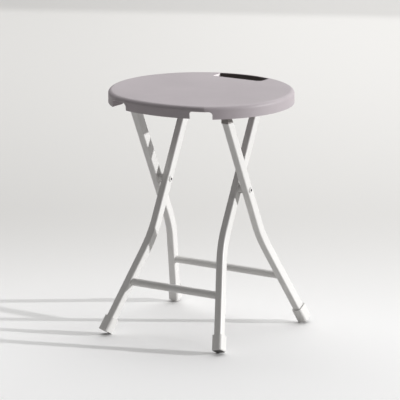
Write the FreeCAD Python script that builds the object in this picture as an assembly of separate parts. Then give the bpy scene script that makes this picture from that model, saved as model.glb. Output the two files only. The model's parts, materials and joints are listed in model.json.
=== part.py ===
import FreeCAD, Part
import math
import os
from FreeCAD import Placement, Rotation, Vector

# Folding stool, in millimetres, +Z up and +Y towards the hand hole at the back of the seat.
# The floor is Z = 0. Two tube frames cross at a pair of rivets: the outer frame has its feet at the
# back and carries the seat's hinge at the front, the inner frame has its feet at the front and holds
# the back of the seat up on its top bar. The stool is drawn about the middle of the round seat and
# put over the middle of its own footprint at the end.

# Seat
SEAT_HEIGHT = 450.0
SEAT_DIAMETER = 338.4
SEAT_SKIN = 3.0
SKIRT_DEPTH = 23.0
RIM_RADIUS = 7.0

# Flattened front: a shallow curve of its own that leans in towards its foot
FRONT_REACH = 160.4
FRONT_RADIUS = 235.0
FRONT_UNDERCUT = 2.8

# Leg slots in the front skirt, each with a guide wall on its outer side
SLOT_INNER_EDGE = 66.5
SLOT_OUTER_EDGE = 105.5
SLOT_TOP_DEPTH = 9.5
SLOT_CORNER = 6.0
GUIDE_WALL = 3.0
GUIDE_END = 99.0

# Hand hole
HAND_HOLE_WIDTH = 106.0
HAND_HOLE_FRONT = 120.0
HAND_HOLE_RIM = 8.5
HAND_HOLE_CORNER = 10.0
COLLAR_WALL = 2.5

# Ribs under the seat
RIB_WIDTH = 2.0
RIB_DEPTH = 8.0
RING_RIB_RADII = (46.0, 92.0, 136.0)
RADIAL_RIBS = 16

# Frames
PIVOT_DEPTH = 176.3
PIVOT_Y = 2.0
LEG_LEAN = 27.0
TUBE_WIDTH = 14.4
TUBE_DEPTH = 18.0
TUBE_CORNER = 3.0
TUBE_WALL = 1.2
INNER_LEG_X = 74.6
LEG_GAP = 8.2
BEND_HEIGHT = 177.6
BEND_RADIUS = 260.0
INNER_SPLAY = 14.0
OUTER_SPLAY = 13.2
STRETCHER_DIAMETER = 14.0
STRETCHER_WALL = 1.2
INNER_STRETCHER_HEIGHT = 94.7
OUTER_STRETCHER_HEIGHT = 96.0

# Foot caps
CAP_WALL = 3.0
CAP_BASE = 4.0
CAP_LENGTH = 29.0
CAP_EDGE = 1.5

# Seat hinge on the outer frame: the leg tubes are cut level, and a fitting in each carries the rod
HINGE_DEPTH = 21.0
TUBE_BELOW_HINGE = 20.0
HINGE_ROD_DIAMETER = 8.0
HINGE_EYE_RADIUS = 6.5
NECK_FOOT_WIDTH = 5.0
NECK_FOOT_HEIGHT = 7.5
SPIGOT_LENGTH = 16.0
ROD_CAP_DIAMETER = 13.0
ROD_CAP_LENGTH = 4.0
ROD_CAP_EDGE = 1.2
ROD_END = 2.5
CLIP_WIDTH = 6.0
CLIP_WALL = 3.0
CLIP_FLANGE = 9.0
CLIP_SIDE_GAP = 1.6
CLIP_SCREW_DIAMETER = 3.0
CLIP_SCREW_LENGTH = 10.0
CLIP_HEAD_DIAMETER = 5.6
CLIP_HEAD_HEIGHT = 1.8
CLIP_HEAD_EDGE = 0.8

# Top bar of the inner frame and the saddles that lie on it
BAR_DIAMETER = 14.0
BAR_WALL = 1.2
BAR_DEPTH = 21.0
LEG_ABOVE_BAR = 4.0
PLUG_FLANGE = 2.0
PLUG_LENGTH = 10.0
SADDLE_X = (18.0, 50.0)
SADDLE_WIDTH = 4.0
SADDLE_REACH = 6.0
SADDLE_FRONT_LIP = 3.0
SADDLE_BACK_LIP = 12.0

# Pivot rivets
RIVET_DIAMETER = 7.0
RIVET_HEAD_DIAMETER = 12.0
RIVET_HEAD_HEIGHT = 1.8
RIVET_EYE_DIAMETER = 4.0
RIVET_EYE_DEPTH = 4.0
SPACER_DIAMETER = 15.0

# Clearances, radial or from face to face
RUNNING_FIT = 0.05
SLIDING_FACE = 0.1
PUSH_FIT = 0.1
REST_GAP = 0.3

# How far a cutter reaches past what it cuts
OVERRUN = 1.0

SEAT_RADIUS = SEAT_DIAMETER / 2
FRONT_AXIS_Y = FRONT_RADIUS - FRONT_REACH
FRONT_DRAFT = math.degrees(math.atan(FRONT_UNDERCUT / (SKIRT_DEPTH - RIM_RADIUS)))
SKIRT_BOTTOM = SEAT_HEIGHT - SKIRT_DEPTH
SKIN_BOTTOM = SEAT_HEIGHT - SEAT_SKIN
HINGE_Z = SEAT_HEIGHT - HINGE_DEPTH
PIVOT_HEIGHT = SEAT_HEIGHT - PIVOT_DEPTH
OUTER_LEG_HEIGHT = HINGE_Z - TUBE_BELOW_HINGE
OUTER_LEG_X = INNER_LEG_X + TUBE_WIDTH + LEG_GAP
LEAN_SIN = math.sin(math.radians(LEG_LEAN))
LEAN_COS = math.cos(math.radians(LEG_LEAN))
BEND_ALONG = (BEND_HEIGHT - PIVOT_HEIGHT) / LEAN_COS
BAR_ALONG = (SEAT_HEIGHT - BAR_DEPTH - PIVOT_HEIGHT) / LEAN_COS
LEG_TOP_ALONG = BAR_ALONG + LEG_ABOVE_BAR
LEAN_RUN = LEAN_SIN / LEAN_COS
OUTER_LEG_FRONT = PIVOT_Y - (OUTER_LEG_HEIGHT - PIVOT_HEIGHT) * LEAN_RUN - TUBE_DEPTH / 2 / LEAN_COS
HINGE_Y = OUTER_LEG_FRONT + HINGE_EYE_RADIUS
BAR_Y = PIVOT_Y + BAR_ALONG * LEAN_SIN
BAR_Z = PIVOT_HEIGHT + BAR_ALONG * LEAN_COS
FAR = 2 * SEAT_DIAMETER

X_AXIS = Vector(1, 0, 0)
Y_AXIS = Vector(0, 1, 0)
Z_AXIS = Vector(0, 0, 1)

# Each frame is drawn upright about its pivot, with its legs along Z, and then leaned.
PIVOT = Vector(0, PIVOT_Y, PIVOT_HEIGHT)
INNER_LEAN = Placement(PIVOT, Rotation(X_AXIS, -LEG_LEAN))
OUTER_LEAN = Placement(PIVOT, Rotation(X_AXIS, LEG_LEAN))


def box(low, high):
    """A box from its lowest to its highest corner."""
    size = high - low
    return Part.makeBox(size.x, size.y, size.z, low)


def rod(radius, start, end):
    """A round bar from one point to another."""
    return Part.makeCylinder(radius, (end - start).Length, start, end - start)


def join(solids):
    """One solid from overlapping or touching ones, without seams."""
    return solids[0].multiFuse(solids[1:]).removeSplitter()


def placed(shape, placement):
    """A copy of a shape, carried by a placement."""
    moved = shape.copy()
    moved.Placement = placement.multiply(moved.Placement)
    return moved


def left_of(shape):
    """The same piece on the other side of the stool."""
    return shape.mirror(Vector(0, 0, 0), X_AXIS)


def rounded_rectangle(width, depth, corner):
    """Face in the XY plane, centred on the origin."""
    half_w = width / 2
    half_d = depth / 2
    cut = corner * (1 - math.sqrt(0.5))
    edges = []
    corners = ((1, -1), (1, 1), (-1, 1), (-1, -1))
    points = []
    for sx, sy in corners:
        on_side = Vector(sx * half_w, sy * (half_d - corner), 0)
        on_end = Vector(sx * (half_w - corner), sy * half_d, 0)
        middle = Vector(sx * (half_w - cut), sy * (half_d - cut), 0)
        points.append((on_end, middle, on_side) if sx * sy < 0 else (on_side, middle, on_end))
    for number, (start, middle, end) in enumerate(points):
        edges.append(Part.Arc(start, middle, end).toShape())
        following = points[(number + 1) % len(points)][0]
        edges.append(Part.LineSegment(end, following).toShape())
    return Part.Face(Part.Wire(edges))


def tube_face(width, depth, corner, wall):
    """Ring of wall thickness, for a flat-sided tube."""
    outside = rounded_rectangle(width, depth, corner)
    inside = rounded_rectangle(width - 2 * wall, depth - 2 * wall, corner - wall)
    return outside.cut(inside).Faces[0]


def run(face, place, length):
    """Straight stretch of a section along its own Z, and the place where it ends."""
    start = placed(face, place)
    solid = start.extrude(place.Rotation.multVec(Z_AXIS) * length)
    return solid, place.multiply(Placement(Z_AXIS * length, Rotation()))


def bend(face, place, radius, angle, towards):
    """Bent stretch of a section that turns its Z towards a direction in its own plane."""
    start = placed(face, place)
    centre = place.multVec(towards * radius)
    axis = place.Rotation.multVec(Z_AXIS.cross(towards))
    solid = start.revolve(centre, axis, angle)
    turn = Placement(Vector(0, 0, 0), Rotation(axis, angle), centre)
    return solid, turn.multiply(place)


def foot_end(splay, half_width, half_depth, corner):
    """How far up the leg from the floor line the middle of a cap's base lies, for the cap's
    lowest corner to touch the floor."""
    side = math.sin(math.radians(splay)) * LEAN_COS
    slope = math.hypot(side, LEAN_SIN)
    drop = (half_width - corner) * side + (half_depth - corner) * LEAN_SIN
    drop += (corner - CAP_EDGE) * slope
    return drop / LEAN_COS


def leg_path_start(leg_x, splay):
    """Place at the middle of a right foot cap's base, with Z up along the splayed leg."""
    half_width = TUBE_WIDTH / 2 + CAP_WALL
    half_depth = TUBE_DEPTH / 2 + CAP_WALL
    rise = foot_end(splay, half_width, half_depth, TUBE_CORNER + CAP_WALL)
    along = rise - PIVOT_HEIGHT / LEAN_COS
    tangent = math.tan(math.radians(splay))
    foot_x = leg_x + (BEND_ALONG - along) * tangent
    return Placement(Vector(foot_x, 0, along), Rotation(Y_AXIS, -splay))


def leg_stretches(face, leg_x, splay, top_along):
    """Lower run, outward bend and upper run of a right leg, and the place at its top."""
    base = leg_path_start(leg_x, splay)
    start = base.multiply(Placement(Z_AXIS * CAP_BASE, Rotation()))
    tangent = BEND_RADIUS * math.tan(math.radians(splay) / 2)
    slant = (BEND_ALONG - start.Base.z) / math.cos(math.radians(splay))
    lower, place = run(face, start, slant - tangent)
    turn, place = bend(face, place, BEND_RADIUS, splay, X_AXIS)
    upper, place = run(face, place, top_along - place.Base.z)
    return [lower, turn, upper], place


def cross_hole(radius, centre, from_x, to_x):
    """Cutter for a hole along X."""
    return rod(radius, Vector(from_x, centre.y, centre.z), Vector(to_x, centre.y, centre.z))


TUBE = tube_face(TUBE_WIDTH, TUBE_DEPTH, TUBE_CORNER, TUBE_WALL)
TUBE_ENVELOPE = rounded_rectangle(TUBE_WIDTH, TUBE_DEPTH, TUBE_CORNER)
BORE_CORNER = TUBE_CORNER - TUBE_WALL
PIVOT_HOLE_RADIUS = RIVET_DIAMETER / 2 + RUNNING_FIT
UPRIGHT_PIVOT = Vector(0, 0, 0)


def inner_leg():
    """Right leg of the inner frame, upright about the pivot."""
    stretches, _ = leg_stretches(TUBE, INNER_LEG_X, INNER_SPLAY, LEG_TOP_ALONG)
    hole = cross_hole(PIVOT_HOLE_RADIUS, UPRIGHT_PIVOT, 0, FAR)
    return join(stretches).cut(hole)


def above_outer_legs():
    """Everything above the level cut of the outer legs, in the upright outer frame."""
    block = box(Vector(-FAR, -FAR, OUTER_LEG_HEIGHT), Vector(FAR, FAR, OUTER_LEG_HEIGHT + FAR))
    return placed(block, OUTER_LEAN.inverse())


def outer_leg():
    """Right leg of the outer frame, upright about the pivot, cut level at its top."""
    past_cut = (OUTER_LEG_HEIGHT - PIVOT_HEIGHT) / LEAN_COS + TUBE_DEPTH
    stretches, _ = leg_stretches(TUBE, OUTER_LEG_X, OUTER_SPLAY, past_cut)
    hole = cross_hole(PIVOT_HOLE_RADIUS, UPRIGHT_PIVOT, 0, FAR)
    return join(stretches).cut(above_outer_legs()).cut(hole)


def stretcher(height, leg_x, splay):
    """Round tube between a frame's legs, its ends shaped to their inner faces."""
    along = (height - PIVOT_HEIGHT) / LEAN_COS
    start = Vector(-FAR / 2, 0, along)
    end = Vector(FAR / 2, 0, along)
    radius = STRETCHER_DIAMETER / 2
    tube = rod(radius, start, end).cut(rod(radius - STRETCHER_WALL, start, end))
    envelope, _ = leg_stretches(TUBE_ENVELOPE, leg_x, splay, 0)
    right = join(envelope)
    middle = tube.cut(right).cut(left_of(right))
    return min(middle.Solids, key=lambda solid: abs(solid.CenterOfMass.x))


def foot_cap(leg_x, splay):
    """Right foot cap: a sleeve round the tube with a closed base, cut square to the leg."""
    base = leg_path_start(leg_x, splay)
    outside = rounded_rectangle(TUBE_WIDTH + 2 * CAP_WALL, TUBE_DEPTH + 2 * CAP_WALL,
                                TUBE_CORNER + CAP_WALL)
    solid = outside.extrude(Z_AXIS * CAP_LENGTH)
    rims = [edge for edge in solid.Edges if edge.BoundBox.ZMax < CAP_EDGE / 2]
    solid = solid.makeChamfer(CAP_EDGE, rims)
    socket = rounded_rectangle(TUBE_WIDTH + 2 * PUSH_FIT, TUBE_DEPTH + 2 * PUSH_FIT,
                               TUBE_CORNER + PUSH_FIT)
    socket.translate(Z_AXIS * CAP_BASE)
    return placed(solid.cut(socket.extrude(Z_AXIS * CAP_LENGTH)), base)


def inner_top_bar():
    """Round tube welded between the inner legs' tops."""
    reach = INNER_LEG_X - TUBE_WIDTH / 2
    start = Vector(-reach, 0, BAR_ALONG)
    end = Vector(reach, 0, BAR_ALONG)
    radius = BAR_DIAMETER / 2
    return rod(radius, start, end).cut(rod(radius - BAR_WALL, start, end))


def spigot(length):
    """Plug that fills the bore of the leg tube with a push fit, along -Z from the origin."""
    bore = 2 * TUBE_WALL + 2 * PUSH_FIT
    face = rounded_rectangle(TUBE_WIDTH - bore, TUBE_DEPTH - bore, BORE_CORNER - PUSH_FIT)
    return face.extrude(-Z_AXIS * length)


def inner_leg_plug():
    """Right plug in the top of an inner leg."""
    flange = TUBE_ENVELOPE.extrude(Z_AXIS * PLUG_FLANGE)
    top = Placement(Vector(INNER_LEG_X, 0, LEG_TOP_ALONG), Rotation())
    return placed(join([flange, spigot(PLUG_LENGTH)]), top)


def hinge_fitting():
    """Right fitting in the top of an outer leg: a spigot in the tube and a neck up to a round eye."""
    low_x = OUTER_LEG_X - TUBE_WIDTH / 2
    high_x = OUTER_LEG_X + TUBE_WIDTH / 2
    front = HINGE_Y - HINGE_EYE_RADIUS
    back = HINGE_Y + HINGE_EYE_RADIUS
    foot_z = OUTER_LEG_HEIGHT
    outline = [(front, foot_z), (back + NECK_FOOT_WIDTH, foot_z), (back, foot_z + NECK_FOOT_HEIGHT),
               (back, HINGE_Z), (front, HINGE_Z)]
    points = [Vector(low_x, y, z) for y, z in outline]
    neck = Part.Face(Part.makePolygon(points + points[:1])).extrude(X_AXIS * TUBE_WIDTH)
    eye = rod(HINGE_EYE_RADIUS, Vector(low_x, HINGE_Y, HINGE_Z), Vector(high_x, HINGE_Y, HINGE_Z))
    past_cut = (OUTER_LEG_HEIGHT - PIVOT_HEIGHT) / LEAN_COS + TUBE_DEPTH
    in_tube = placed(spigot(SPIGOT_LENGTH + TUBE_DEPTH), Placement(Vector(OUTER_LEG_X, 0, past_cut), Rotation()))
    in_tube = placed(in_tube.cut(above_outer_legs()), OUTER_LEAN)
    body = join([neck, eye, in_tube])
    hole_radius = HINGE_ROD_DIAMETER / 2 + RUNNING_FIT
    return body.cut(cross_hole(hole_radius, Vector(0, HINGE_Y, HINGE_Z), 0, FAR))


def rod_cap():
    """Right push-on cap on the hinge rod, outside the fitting, with a bevelled end."""
    centre = Vector(OUTER_LEG_X + TUBE_WIDTH / 2 + SLIDING_FACE, HINGE_Y, HINGE_Z)
    tip = centre + X_AXIS * ROD_CAP_LENGTH
    solid = rod(ROD_CAP_DIAMETER / 2, centre, tip)
    outer_rim = [edge for edge in solid.Edges if edge.BoundBox.XMin > tip.x - ROD_CAP_LENGTH / 2]
    solid = solid.makeChamfer(ROD_CAP_EDGE, outer_rim)
    socket = rod(HINGE_ROD_DIAMETER / 2 + RUNNING_FIT, centre, centre + X_AXIS * ROD_END)
    return solid.cut(socket)


def hinge_rod():
    """Steel rod through both fittings and the seat's bosses, as long as its end caps allow."""
    reach = OUTER_LEG_X + TUBE_WIDTH / 2 + SLIDING_FACE + ROD_END
    return rod(HINGE_ROD_DIAMETER / 2, Vector(-reach, HINGE_Y, HINGE_Z), Vector(reach, HINGE_Y, HINGE_Z))


def pivot_rivet():
    """Right rivet through both legs, with low bevelled heads and an open eye in each end."""
    inner_face = INNER_LEG_X - TUBE_WIDTH / 2 - SLIDING_FACE
    outer_face = OUTER_LEG_X + TUBE_WIDTH / 2
    foot_radius = RIVET_HEAD_DIAMETER / 2
    crown_radius = foot_radius - RIVET_HEAD_HEIGHT
    pieces = [rod(RIVET_DIAMETER / 2, PIVOT + X_AXIS * inner_face, PIVOT + X_AXIS * outer_face)]
    for face_x, outward in ((inner_face, -1), (outer_face, 1)):
        foot = PIVOT + X_AXIS * face_x
        pieces.append(Part.makeCone(foot_radius, crown_radius, RIVET_HEAD_HEIGHT, foot, X_AXIS * outward))
    rivet = join(pieces)
    for face_x, outward in ((inner_face, -1), (outer_face, 1)):
        mouth = PIVOT + X_AXIS * (face_x + outward * RIVET_HEAD_HEIGHT)
        rivet = rivet.cut(rod(RIVET_EYE_DIAMETER / 2, mouth, mouth - X_AXIS * outward * RIVET_EYE_DEPTH))
    return rivet


def pivot_spacer():
    """Right bush between the crossing legs."""
    start = PIVOT + X_AXIS * (INNER_LEG_X + TUBE_WIDTH / 2 + SLIDING_FACE)
    end = PIVOT + X_AXIS * (OUTER_LEG_X - TUBE_WIDTH / 2)
    return rod(SPACER_DIAMETER / 2, start, end).cut(rod(PIVOT_HOLE_RADIUS, start, end))


def rounded_block(axis_y, radius, draft, inset, bottom):
    """Block turned about an upright axis, `inset` inside the seat's outside: flat on top, with a
    rounded rim and a side that leans in by `draft` degrees towards its foot."""
    centre = Vector(radius - RIM_RADIUS, axis_y, SEAT_HEIGHT - RIM_RADIUS)
    rounding = RIM_RADIUS - inset
    points = []
    for degrees in (-draft, 45, 90):
        angle = math.radians(degrees)
        points.append(centre + Vector(rounding * math.cos(angle), 0, rounding * math.sin(angle)))
    shoulder, _, crown = points
    lean_in = (shoulder.z - bottom) * math.tan(math.radians(draft))
    path = [crown, Vector(0, axis_y, crown.z), Vector(0, axis_y, bottom),
            Vector(shoulder.x - lean_in, axis_y, bottom), shoulder]
    lines = [Part.makeLine(path[i], path[i + 1]) for i in range(len(path) - 1)]
    profile = Part.Face(Part.Wire([Part.Arc(*points).toShape()] + lines))
    return profile.revolve(Vector(0, axis_y, 0), Z_AXIS, 360)


def seat_block(inset, bottom):
    """Round block with the flattened front, `inset` inside the seat's outside."""
    disc = rounded_block(0, SEAT_RADIUS, 0, inset, bottom)
    return disc.common(rounded_block(FRONT_AXIS_Y, FRONT_RADIUS, FRONT_DRAFT, inset, bottom))


def hand_hole(grow, top, bottom):
    """Upright prism of the hand hole's outline, grown by a margin: its back edge follows the rim."""
    back_radius = SEAT_RADIUS - HAND_HOLE_RIM + grow
    length = 2 * (back_radius - HAND_HOLE_FRONT)
    face = rounded_rectangle(HAND_HOLE_WIDTH + 2 * grow, length, HAND_HOLE_CORNER + grow)
    face.translate(Vector(0, HAND_HOLE_FRONT - grow + length / 2, bottom))
    return face.extrude(Z_AXIS * (top - bottom)).common(rod(back_radius, Z_AXIS * bottom, Z_AXIS * top))


def leg_slot():
    """Cutter for the right leg slot in the front skirt, open at the bottom, with rounded top corners."""
    width = SLOT_OUTER_EDGE - SLOT_INNER_EDGE
    top = SEAT_HEIGHT - SLOT_TOP_DEPTH
    height = 2 * (top - SKIRT_BOTTOM)
    face = rounded_rectangle(width, height, SLOT_CORNER)
    middle_x = (SLOT_OUTER_EDGE + SLOT_INNER_EDGE) / 2
    stand = Placement(Vector(middle_x, 0, top - height / 2), Rotation(X_AXIS, 90))
    length = SEAT_RADIUS
    return placed(face, stand).extrude(-Y_AXIS * length)


def guide_wall():
    """Wall beside the right slot's outer edge, running back from the front."""
    return box(Vector(SLOT_OUTER_EDGE, -SEAT_RADIUS, SKIRT_BOTTOM),
               Vector(SLOT_OUTER_EDGE + GUIDE_WALL, -GUIDE_END, SEAT_HEIGHT))


def ribs():
    """Ring ribs and radial ribs on the underside, before they are trimmed to the seat's hollow."""
    low = SKIN_BOTTOM - RIB_DEPTH
    solids = []
    for radius in RING_RIB_RADII:
        outside = rod(radius + RIB_WIDTH / 2, Z_AXIS * low, Z_AXIS * SEAT_HEIGHT)
        solids.append(outside.cut(rod(radius - RIB_WIDTH / 2, Z_AXIS * low, Z_AXIS * SEAT_HEIGHT)))
    spoke = box(Vector(RING_RIB_RADII[0], -RIB_WIDTH / 2, low), Vector(SEAT_RADIUS, RIB_WIDTH / 2, SEAT_HEIGHT))
    for number in range(RADIAL_RIBS):
        turn = Rotation(Z_AXIS, 360.0 * (number + 0.5) / RADIAL_RIBS)
        solids.append(placed(spoke, Placement(Vector(0, 0, 0), turn)))
    return solids


def clip_low_x():
    """Inner side of the right hinge boss and clip."""
    return OUTER_LEG_X - TUBE_WIDTH / 2 - CLIP_SIDE_GAP - CLIP_WIDTH


def clip_screw_places():
    """Where the right clip's two screws enter its flanges, in front of the rod and behind it."""
    offset = HINGE_ROD_DIAMETER / 2 + RUNNING_FIT + CLIP_WALL + CLIP_FLANGE / 2
    x = clip_low_x() + CLIP_WIDTH / 2
    return [Vector(x, HINGE_Y - offset, HINGE_Z), Vector(x, HINGE_Y + offset, HINGE_Z)]


def hinge_boss():
    """Right boss: a block down from the seat's skin to the rod's middle, half round over the rod."""
    reach = HINGE_ROD_DIAMETER / 2 + RUNNING_FIT + CLIP_WALL + CLIP_FLANGE
    low_x = clip_low_x()
    block = box(Vector(low_x, HINGE_Y - reach, HINGE_Z), Vector(low_x + CLIP_WIDTH, HINGE_Y + reach, SEAT_HEIGHT))
    centre = Vector(0, HINGE_Y, HINGE_Z)
    block = block.cut(cross_hole(HINGE_ROD_DIAMETER / 2 + RUNNING_FIT, centre, 0, FAR))
    for place in clip_screw_places():
        pilot = rod(CLIP_SCREW_DIAMETER / 2 + RUNNING_FIT, place, place + Z_AXIS * CLIP_SCREW_LENGTH)
        block = block.cut(pilot)
    return block


def hinge_clip():
    """Right strap under the rod, with a flange in front and one behind, against the boss."""
    low_x = clip_low_x()
    inner = HINGE_ROD_DIAMETER / 2 + RUNNING_FIT
    outer = inner + CLIP_WALL
    centre = Vector(0, HINGE_Y, HINGE_Z)
    ring = rod(outer, Vector(low_x, HINGE_Y, HINGE_Z), Vector(low_x + CLIP_WIDTH, HINGE_Y, HINGE_Z))
    below = box(Vector(low_x, HINGE_Y - outer, HINGE_Z - outer), Vector(low_x + CLIP_WIDTH, HINGE_Y + outer, HINGE_Z))
    reach = outer + CLIP_FLANGE
    flange = box(Vector(low_x, HINGE_Y - reach, HINGE_Z - CLIP_WALL),
                 Vector(low_x + CLIP_WIDTH, HINGE_Y + reach, HINGE_Z))
    strap = join([ring.common(below), flange]).cut(cross_hole(inner, centre, 0, FAR))
    for place in clip_screw_places():
        hole = rod(CLIP_SCREW_DIAMETER / 2 + RUNNING_FIT, place - Z_AXIS * outer, place + Z_AXIS)
        strap = strap.cut(hole)
    return strap


def clip_screws():
    """The four pan-head screws that hold the two clips."""
    screws = []
    for place in clip_screw_places():
        seat_z = place - Z_AXIS * CLIP_WALL
        shank_length = CLIP_SCREW_LENGTH + CLIP_WALL - RUNNING_FIT
        shank = rod(CLIP_SCREW_DIAMETER / 2, seat_z, seat_z + Z_AXIS * shank_length)
        head = rod(CLIP_HEAD_DIAMETER / 2, seat_z - Z_AXIS * CLIP_HEAD_HEIGHT, seat_z)
        lower_rim = [edge for edge in head.Edges if edge.BoundBox.ZMax < seat_z.z - CLIP_HEAD_HEIGHT / 2]
        head = head.makeChamfer(CLIP_HEAD_EDGE, lower_rim)
        screw = join([shank, head])
        screws.extend([screw, left_of(screw)])
    return Part.makeCompound(screws)


def saddles():
    """Saddle ribs that lie on the top bar, with a short lip in front of it and a stop behind it."""
    groove = BAR_DIAMETER / 2 + REST_GAP
    crest = BAR_Z + groove
    solids = []
    for middle_x in [side * x for x in SADDLE_X for side in (-1, 1)]:
        low_x = middle_x - SADDLE_WIDTH / 2
        high_x = middle_x + SADDLE_WIDTH / 2
        front = box(Vector(low_x, BAR_Y - groove - SADDLE_REACH, crest - SADDLE_FRONT_LIP),
                    Vector(high_x, BAR_Y, SEAT_HEIGHT))
        back = box(Vector(low_x, BAR_Y, crest - SADDLE_BACK_LIP),
                   Vector(high_x, BAR_Y + groove + SADDLE_REACH, SEAT_HEIGHT))
        solids.append(join([front, back]))
    bar = rod(groove, Vector(-FAR, BAR_Y, BAR_Z), Vector(FAR, BAR_Y, BAR_Z))
    return [solid.cut(bar) for solid in solids]


def frame_room():
    """Spaces under the right half of the skin for the tops of the legs: no rib runs there."""
    hinge_end = HINGE_Y + HINGE_EYE_RADIUS + TUBE_DEPTH
    outer_top = box(Vector(SLOT_INNER_EDGE, -SEAT_RADIUS, SKIRT_BOTTOM - OVERRUN),
                    Vector(SLOT_OUTER_EDGE, hinge_end, SKIN_BOTTOM))
    margin = TUBE_DEPTH
    reach = TUBE_WIDTH / 2 + LEG_GAP / 2
    inner_top = box(Vector(INNER_LEG_X - reach, BAR_Y - margin, SKIRT_BOTTOM - OVERRUN),
                    Vector(INNER_LEG_X + reach, BAR_Y + margin, SKIN_BOTTOM))
    return Part.makeCompound([outer_top, inner_top])


def seat():
    """The moulded seat in one piece."""
    hollow = seat_block(SEAT_SKIN, SKIRT_BOTTOM - OVERRUN)
    shell = seat_block(0, SKIRT_BOTTOM).cut(hollow)
    rib_room = frame_room()
    inside = [rib.cut(rib_room).cut(left_of(rib_room)) for rib in ribs()]
    wall = guide_wall()
    inside += [wall, left_of(wall)]
    boss = hinge_boss()
    inside += [boss, left_of(boss)] + saddles()
    inside.append(hand_hole(COLLAR_WALL, SEAT_HEIGHT, SKIRT_BOTTOM))
    skin_room = seat_block(SEAT_SKIN / 2, SKIRT_BOTTOM)
    body = join([shell] + [piece.common(skin_room) for piece in inside])
    body = body.cut(hand_hole(0, SEAT_HEIGHT + OVERRUN, SKIRT_BOTTOM - OVERRUN))
    slot = leg_slot().cut(box(Vector(0, -GUIDE_END, 0), Vector(FAR, FAR, FAR)))
    return body.cut(slot).cut(left_of(slot)).removeSplitter()


def build():
    """Every node of the stool by name, in the seat-centred frame."""
    nodes = {"seat": seat(), "hinge_rod": hinge_rod(), "hinge_clip_screws": clip_screws()}
    nodes["outer_stretcher"] = placed(stretcher(OUTER_STRETCHER_HEIGHT, OUTER_LEG_X, OUTER_SPLAY), OUTER_LEAN)
    nodes["inner_stretcher"] = placed(stretcher(INNER_STRETCHER_HEIGHT, INNER_LEG_X, INNER_SPLAY), INNER_LEAN)
    nodes["inner_top_bar"] = placed(inner_top_bar(), INNER_LEAN)
    pairs = {
        "outer_leg": placed(outer_leg(), OUTER_LEAN),
        "inner_leg": placed(inner_leg(), INNER_LEAN),
        "outer_foot": placed(foot_cap(OUTER_LEG_X, OUTER_SPLAY), OUTER_LEAN),
        "inner_foot": placed(foot_cap(INNER_LEG_X, INNER_SPLAY), INNER_LEAN),
        "inner_leg_plug": placed(inner_leg_plug(), INNER_LEAN),
        "hinge_fitting": hinge_fitting(),
        "rod_cap": rod_cap(),
        "pivot_rivet": pivot_rivet(),
        "pivot_spacer": pivot_spacer(),
        "hinge_clip": hinge_clip(),
    }
    for name, right in pairs.items():
        nodes[name + "_right"] = right
        nodes[name + "_left"] = left_of(right)
    return nodes


def main():
    nodes = build()
    footprint = Part.makeCompound(list(nodes.values())).optimalBoundingBox(False, False)
    centring = Vector(0, -(footprint.YMin + footprint.YMax) / 2, 0)
    os.makedirs("parts", exist_ok=True)
    for name, shape in sorted(nodes.items()):
        shape.translate(centring)
        shape.exportStep(os.path.join("parts", name + ".step"))
        print(name, "solids", len(shape.Solids), "valid", shape.isValid(), "volume", round(shape.Volume, 1))
    print("centring", centring)
    print("pivot", PIVOT + centring)
    print("hinge", Vector(0, HINGE_Y, HINGE_Z) + centring)
    print("top bar", Vector(0, BAR_Y, BAR_Z) + centring)
    print("box", footprint)


main()
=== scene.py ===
import json
import math

import bpy
from mathutils import Matrix, Vector

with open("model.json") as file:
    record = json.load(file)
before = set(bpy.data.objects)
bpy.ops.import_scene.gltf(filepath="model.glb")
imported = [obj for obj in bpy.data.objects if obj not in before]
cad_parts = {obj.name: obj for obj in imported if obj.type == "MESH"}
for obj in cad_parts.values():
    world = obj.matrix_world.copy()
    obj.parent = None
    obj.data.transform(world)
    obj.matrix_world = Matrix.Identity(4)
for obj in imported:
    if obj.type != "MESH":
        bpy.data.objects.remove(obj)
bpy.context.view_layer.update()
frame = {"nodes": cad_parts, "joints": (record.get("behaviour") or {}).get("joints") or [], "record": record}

# Folding stool: looks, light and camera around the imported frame. Everything is in metres, +Z up,
# with the hand hole at the back, +Y.

# Upright axis of the round seat, at X = 0
SEAT_AXIS_Y = -0.0044

# Bounds of the painted shade in the hand hole, just outside the hole itself. Its back runs round the seat's
# axis.
HOLE_SHADE_HALF_WIDTH = 0.0535
HOLE_SHADE_FRONT_Y = 0.1149
HOLE_SHADE_BACK_RADIUS = 0.16134
HOLE_SHADE_TOP_Z = 0.4492

# Axis of the rivets on which the frames cross, and how far the painted shade of their eyes reaches from it
_, PIVOT_Y, PIVOT_Z = next(joint["pos_m"] for joint in frame["joints"] if joint["name"] == "scissor_pivot")
RIVET_EYE_SHADE_RADIUS = 0.002366

# Width of the photograph in pixels, in which the camera's focal length is given
PHOTO_WIDTH = 400


# Shader expressions
class Value:
    """A shader socket that can be used in Python arithmetic."""

    def __init__(self, graph, socket):
        self.graph = graph
        self.socket = socket

    def _math(self, operation, first, second):
        return self.graph.node("Math", {"operation": operation}, [first, second])

    def __add__(self, other):
        return self._math("ADD", self, other)

    __radd__ = __add__

    def __sub__(self, other):
        return self._math("SUBTRACT", self, other)

    def __rsub__(self, other):
        return self._math("SUBTRACT", other, self)

    def __mul__(self, other):
        return self._math("MULTIPLY", self, other)

    __rmul__ = __mul__

    def step(self, low, high):
        """Rises smoothly from 0 at low to 1 at high."""
        settings = {"interpolation_type": "SMOOTHSTEP"}
        return self.graph.node("MapRange", settings, [self, low, high, 0.0, 1.0])

    def above(self, edge, blur):
        """1 above the edge and 0 below it, with the change spread over the blur on each side."""
        return self.step(edge - blur, edge + blur)

    def below(self, edge, blur):
        return 1.0 - self.above(edge, blur)


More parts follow.
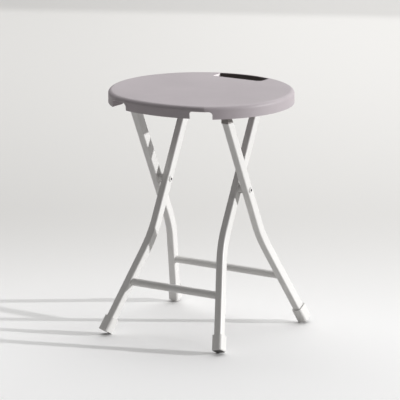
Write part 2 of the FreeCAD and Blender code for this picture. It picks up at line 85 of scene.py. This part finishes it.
class Graph:
    """The node tree of one material or of the world."""

    def __init__(self, owner):
        owner.use_nodes = True
        self.tree = owner.node_tree
        self.tree.nodes.clear()

    def raw(self, kind, settings=None, inputs=None):
        """Any node by its type: its settings first, then its sockets by place or by name."""
        node = self.tree.nodes.new("ShaderNode" + kind)
        for name, value in (settings or {}).items():
            setattr(node, name, value)
        pairs = enumerate(inputs) if isinstance(inputs, list) else (inputs or {}).items()
        for key, value in pairs:
            if isinstance(value, Value):
                self.tree.links.new(value.socket, node.inputs[key])
            else:
                node.inputs[key].default_value = value
        return node

    def node(self, kind, settings=None, inputs=None, output=0):
        """One output of such a node, by its place or its name."""
        return Value(self, self.raw(kind, settings, inputs).outputs[output])

    def mix(self, factor, first, second):
        """Blend of two colours, each a link or an RGBA tuple."""
        # A Mix node's sockets for colours go by their places, because their names repeat.
        inputs = {0: factor, 6: first, 7: second}
        return self.node("Mix", {"data_type": "RGBA"}, inputs, output=2)

    def parts(self, vector):
        """The three numbers of a vector."""
        node = self.raw("SeparateXYZ", {}, [vector])
        return [Value(self, socket) for socket in node.outputs]

    def stretched(self, vector, factors):
        return self.node("VectorMath", {"operation": "MULTIPLY"}, [vector, factors])

    def noise(self, place, scale, detail=2.0, roughness=0.5):
        """Noise with scale features to the metre."""
        inputs = {"Vector": place, "Scale": scale, "Detail": detail, "Roughness": roughness}
        return self.node("TexNoise", {}, inputs)

    def bump(self, height, distance):
        """Normal of a relief that stands out by the distance."""
        return self.node("Bump", {}, {"Distance": distance, "Height": height})


def shade(hexa):
    """Linear RGBA of a colour written as it looks on screen, by the sRGB curve."""
    channels = [int(hexa[i:i + 2], 16) / 255 for i in (0, 2, 4)]
    linear = [c / 12.92 if c <= 0.04045 else ((c + 0.055) / 1.055) ** 2.4 for c in channels]
    return (*linear, 1.0)


def surface(name, build, **fixed):
    """A principled material. build(graph, place) gives the sockets that vary, fixed gives the constants."""
    material = bpy.data.materials.new(name)
    graph = Graph(material)
    inputs = {key.replace("_", " "): value for key, value in fixed.items()}
    inputs.update(build(graph, graph.node("TexCoord", output="Object")))
    shader = graph.node("BsdfPrincipled", {}, inputs)
    graph.raw("OutputMaterial", {}, {"Surface": shader})
    return material


# Finishes of the stool
def seat_plastic(graph, place):
    """Moulded polypropylene with a fine spark-eroded grain and a little unevenness in its colour. Inside
    the hand hole it has painted shade, near black, with a pale painted highlight on the left end, which
    faces right."""
    cloud = graph.noise(place, scale=9.0, detail=3.0)
    grain = graph.noise(place, scale=1900.0, roughness=0.6)
    pebble = graph.noise(place, scale=620.0)
    colour = graph.mix(cloud.step(0.3, 0.7), shade("aaa2a6"), shade("b0a8ac"))

    x, y, z = graph.parts(place)
    from_axis = y - SEAT_AXIS_Y
    radius_squared = x * x + from_axis * from_axis
    # Painted shade: the walls of the hand hole are near black, with a pale painted highlight where they face
    # right.
    hole_shade = y.above(HOLE_SHADE_FRONT_Y, blur=0.0003) * z.below(HOLE_SHADE_TOP_Z, blur=0.0004)
    hole_shade = hole_shade * radius_squared.below(HOLE_SHADE_BACK_RADIUS ** 2, blur=0.00008)
    hole_shade = hole_shade * x.above(-HOLE_SHADE_HALF_WIDTH, blur=0.0002) * x.below(HOLE_SHADE_HALF_WIDTH, blur=0.0002)
    facing_x = graph.parts(graph.node("TexCoord", output="Normal"))[0]
    hole_shade_and_highlight = graph.mix(facing_x.step(0.4, 0.7), shade("39312f"), shade("efe9ea"))

    return {"Base Color": graph.mix(hole_shade, colour, hole_shade_and_highlight),
            "Roughness": cloud * 0.08 + 0.44 + grain * 0.06,
            "Normal": graph.bump(grain * 0.6 + pebble * 0.4, distance=0.00006)}


def powder_coat(graph, place):
    """White satin powder coat with its fine orange peel."""
    peel = graph.noise(place, scale=420.0)
    cloud = graph.noise(place, scale=14.0)
    return {"Base Color": graph.mix(cloud, shade("dbdad8"), shade("dedddb")),
            "Roughness": peel * 0.08 + 0.3,
            "Normal": graph.bump(peel, distance=0.00005)}


def white_plastic(graph, place):
    """White moulded plastic, a little duller than the tube. The faces that look down, such as the foot
    caps' soles, are dark with painted shade."""
    grain = graph.noise(place, scale=1500.0)
    cloud = graph.noise(place, scale=30.0)
    colour = graph.mix(cloud, shade("d9d8d6"), shade("dcdbd9"))
    facing_z = graph.parts(graph.node("TexCoord", output="Normal"))[2]
    # Painted shade on the faces that look down.
    return {"Base Color": graph.mix(facing_z.step(-0.8, -0.7), shade("4b4846"), colour),
            "Roughness": grain * 0.08 + 0.4,
            "Normal": graph.bump(grain, distance=0.00003)}


def grey_plastic(graph, place):
    """Grey nylon fittings."""
    grain = graph.noise(place, scale=1300.0)
    return {"Base Color": graph.mix(grain, shade("8f8a88"), shade("989390")),
            "Roughness": grain * 0.1 + 0.42,
            "Normal": graph.bump(grain, distance=0.00004)}


def zinc_steel(graph, place):
    """Bright zinc with faint streaks along X, the way the rod was drawn."""
    streaks = graph.noise(graph.stretched(place, (40.0, 900.0, 900.0)), scale=1.0, detail=3.0)
    return {"Base Color": graph.mix(streaks, shade("c9c8c6"), shade("dddcda")),
            "Roughness": streaks * 0.15 + 0.24}


def dark_steel(graph, place):
    """Black-coated strap steel."""
    grain = graph.noise(place, scale=900.0)
    return {"Base Color": graph.mix(grain, shade("3a3938"), shade("444342")),
            "Roughness": grain * 0.1 + 0.4,
            "Normal": graph.bump(grain, distance=0.00004)}


def painted_rivet(graph, place):
    """Rivet under the frames' white paint, with painted shade, near black, in and round its open eyes."""
    _, y, z = graph.parts(place)
    y, z = y - PIVOT_Y, z - PIVOT_Z
    # Painted shade in and round each open eye.
    eye_shade = (y * y + z * z).below(RIVET_EYE_SHADE_RADIUS ** 2, blur=0.0000008)
    peel = graph.noise(place, scale=420.0)
    paint = graph.mix(peel, shade("d4d3d1"), shade("dad9d7"))
    return {"Base Color": graph.mix(eye_shade, paint, shade("35312f")), "Roughness": peel * 0.08 + 0.3}


FINISHES = {
    "seat_plastic": surface("seat_plastic", seat_plastic, Specular_IOR_Level=0.4),
    "white_powder_coat": surface("white_powder_coat", powder_coat, Specular_IOR_Level=0.5),
    "white_plastic": surface("white_plastic", white_plastic, Specular_IOR_Level=0.4),
    "grey_plastic": surface("grey_plastic", grey_plastic, Specular_IOR_Level=0.4),
    "zinc_steel": surface("zinc_steel", zinc_steel, Metallic=1.0),
    "dark_steel": surface("dark_steel", dark_steel, Specular_IOR_Level=0.4),
}
RIVET_FINISH = surface("painted_rivet", painted_rivet, Specular_IOR_Level=0.5)


def dress_nodes():
    """Gives each CAD node the finish of its material slot, and the rivets the frames' paint."""
    for part in frame["record"]["subparts"]:
        is_rivet = part["node"].startswith("pivot_rivet")
        finish = RIVET_FINISH if is_rivet else FINISHES[part["material_slot"]]
        node = frame["nodes"][part["node"]]
        if not node.material_slots:
            node.data.materials.append(None)
        for slot in node.material_slots:
            slot.material = finish


# Floor, light and camera
def add(name, data):
    """A new object in the scene."""
    thing = bpy.data.objects.new(name, data)
    bpy.context.scene.collection.objects.link(thing)
    return thing


def direction(azimuth, elevation):
    """Unit vector from the stool outwards, in degrees: azimuth 0 is the front, -Y, and 90 is +X."""
    azimuth, elevation = math.radians(azimuth), math.radians(elevation)
    level = math.cos(elevation)
    return Vector((math.sin(azimuth) * level, -math.cos(azimuth) * level, math.sin(elevation)))


def studio_paper(graph, place):
    """Pale paper, nearly white towards the viewer. Greyer behind the stool, most of all on the left, is
    painted shade where the light falls off. In front of the stool it throws back less light than its colour
    in sight would, as painted shade for the stool's fronts."""
    x, y, _ = graph.parts(place)
    view_cosine, view_sine = 0.85, 0.53
    to_the_right = x * view_cosine + y * view_sine
    away = y * view_cosine - x * view_sine
    # Painted shade: greyer away from the viewer and to the left, where the light falls off.
    far = graph.mix(to_the_right.step(-0.6, 0.6), shade("cecdcb"), shade("d8d7d5"))
    seen = graph.mix(away.step(-0.35, 1.0), shade("fefefe"), far)
    # Painted shade: for bounced light the floor in front of the stool is dark, so the stool's fronts get
    # less light.
    bounce_painted_shade = graph.mix(y.step(-1.6, -0.7), shade("686766"), shade("d4d3d2"))
    seeing_rays = ("Is Camera Ray", "Is Glossy Ray", "Is Transmission Ray")
    in_sight = sum(graph.node("LightPath", output=ray) for ray in seeing_rays)
    return {"Base Color": graph.mix(in_sight, bounce_painted_shade, seen)}


def stage_floor():
    """A floor that turns up into the backdrop far behind the stool."""
    half_width, front, back, top = 6.0, -4.0, 7.0, 5.0
    bend_radius, bend_steps = 2.0, 12
    profile = [(front, 0.0)]
    for number in range(bend_steps + 1):
        angle = math.pi / 2 * number / bend_steps
        profile.append((back - bend_radius + bend_radius * math.sin(angle),
                        bend_radius - bend_radius * math.cos(angle)))
    profile.append((back, top))
    points = [(x, y, z) for y, z in profile for x in (-half_width, half_width)]
    faces = [(2 * i, 2 * i + 1, 2 * i + 3, 2 * i + 2) for i in range(len(profile) - 1)]
    mesh = bpy.data.meshes.new("studio_floor")
    mesh.from_pydata(points, [], faces)
    mesh.polygons.foreach_set("use_smooth", [True] * len(faces))
    mesh.materials.append(surface("studio_paper", studio_paper, Roughness=0.9, Specular_IOR_Level=0.1))
    add("studio_floor", mesh)


def studio_light():
    """A low key lamp from behind on the right, a broad soft panel overhead and a dim grey room."""
    key = bpy.data.lights.new("key", "SUN")
    key.energy = 3.15
    key.angle = math.radians(0.9)
    add("key", key).rotation_euler = direction(117.0, 13.0).to_track_quat("Z", "Y").to_euler()

    panel = bpy.data.lights.new("panel", "AREA")
    panel.shape = "RECTANGLE"
    panel.size, panel.size_y = 6.0, 7.0
    panel.energy = 230.0
    add("panel", panel).location = (-1.0, 3.2, 3.6)

    world = bpy.data.worlds.new("studio")
    bpy.context.scene.world = world
    graph = Graph(world)
    background = graph.node("Background", {}, {"Color": (0.2, 0.197, 0.194, 1.0), "Strength": 1.0})
    graph.raw("OutputWorld", {}, {"Surface": background})


def camera():
    """Long lens at the photograph's angle, as fitted to the stool's outlines in it."""
    azimuth, pitch = 31.922, 13.181
    roll = math.radians(0.207)
    distance, focal_px = 5.26418, 2873.6
    aim_height, aim_sideways = 0.24247, -0.001761

    back = direction(azimuth, pitch)
    right = direction(azimuth + 90.0, 0.0)
    up = back.cross(right)
    tilted_right = right * math.cos(roll) + up * math.sin(roll)
    tilted_up = up * math.cos(roll) - right * math.sin(roll)
    aim = Vector((0.0, SEAT_AXIS_Y, aim_height)) + right * aim_sideways

    data = bpy.data.cameras.new("camera")
    data.sensor_width = 36.0
    data.lens = focal_px / PHOTO_WIDTH * data.sensor_width
    view = add("camera", data)
    turn = Matrix((tilted_right, tilted_up, back)).transposed().to_4x4()
    view.matrix_world = Matrix.Translation(aim + back * distance) @ turn
    bpy.context.scene.camera = view


dress_nodes()
stage_floor()
studio_light()
camera()
bpy.context.scene.view_settings.view_transform = "Standard"
